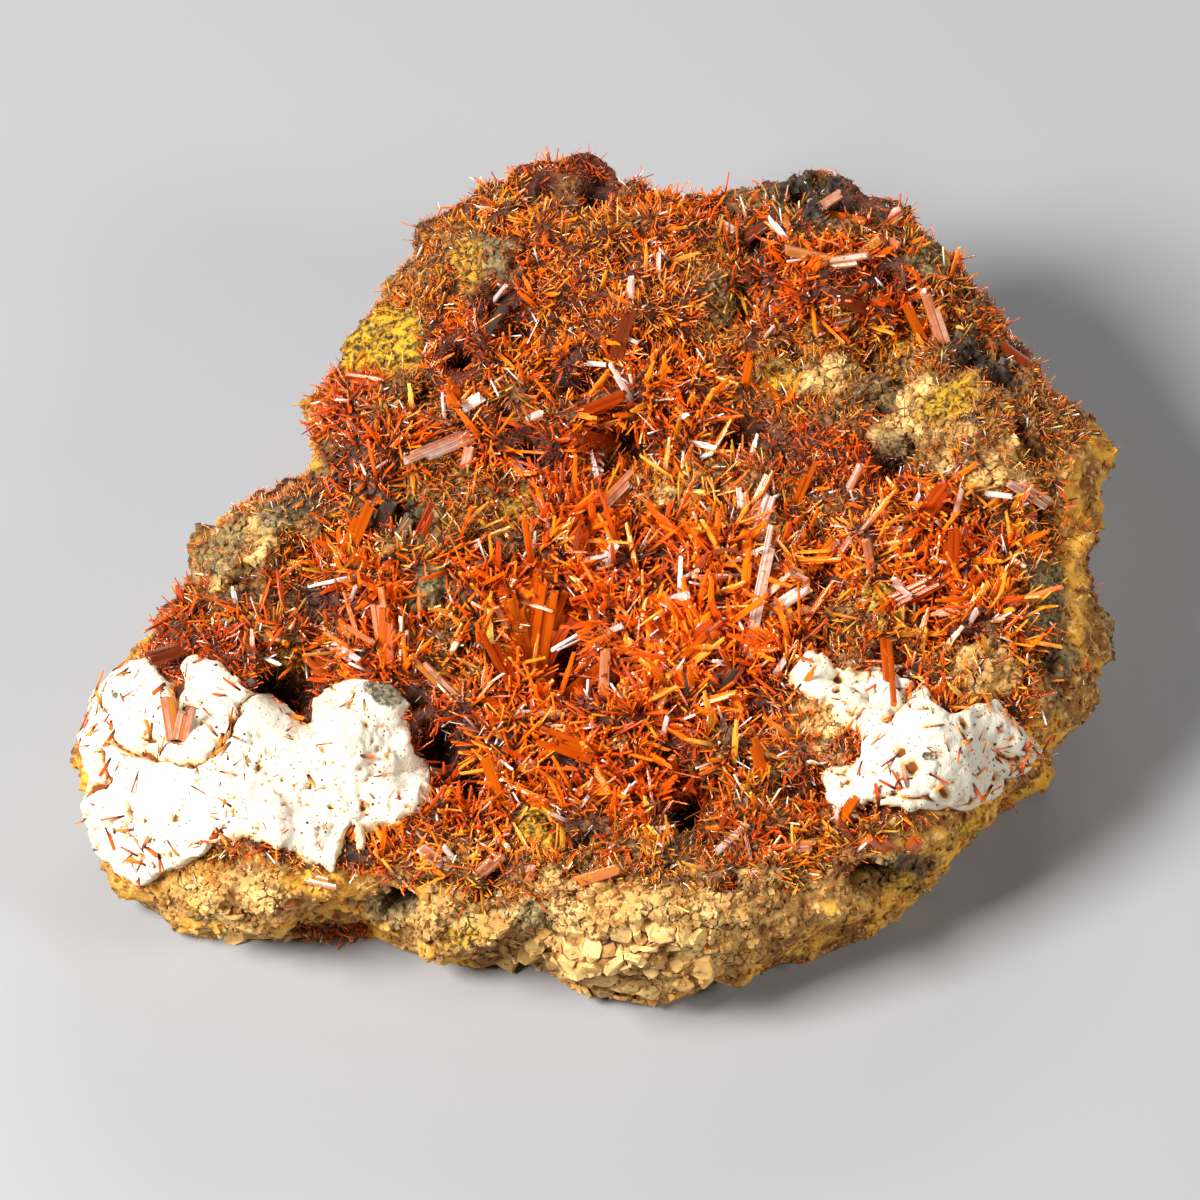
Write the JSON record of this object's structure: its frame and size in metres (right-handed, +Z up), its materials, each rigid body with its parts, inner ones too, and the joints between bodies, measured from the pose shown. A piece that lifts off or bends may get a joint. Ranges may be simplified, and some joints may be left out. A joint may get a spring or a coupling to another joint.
{
  "type": "crocoite mineral specimen",
  "caption": "Natural crocoite specimen: red-orange prismatic crystals and two white crusts on a slab of brown ironstone matrix, lying on its flat broken back.",
  "frame": {"origin": "centre of the overall bounding box, on the resting face", "axes": "+Z up, away from the resting face; +X to the right and -Y towards the viewer as the crystallised side is shown"},
  "size_m": [0.1498, 0.1356, 0.051],
  "materials": {
    "matrix": "rough, earthy ironstone in tan, ochre and near-black brown, matt",
    "crystal": "red-orange prisms, translucent, with a bright adamantine lustre and fine lengthwise striations",
    "crust": "chalky white crust with fine pits and dark specks, matt"
  },
  "bodies": {
    "root": {"matrix_rock": "matrix", "crystals_upper_left": "crystal", "crystals_upper_right": "crystal", "crystals_upper_middle": "crystal", "crystals_left_shoulder": "crystal", "crystals_centre": "crystal", "crystals_right": "crystal", "crystals_left_lobe": "crystal", "crystals_left_middle": "crystal", "crystals_middle_left": "crystal", "crystals_middle_right": "crystal", "crystals_lower_middle": "crystal", "crystals_lower_left": "crystal", "crystals_lower_right": "crystal", "crystals_front_left": "crystal", "crust_twin_crystals": "crystal", "white_crust_left": "crust", "white_crust_right": "crust"}
  },
  "joints": []
}
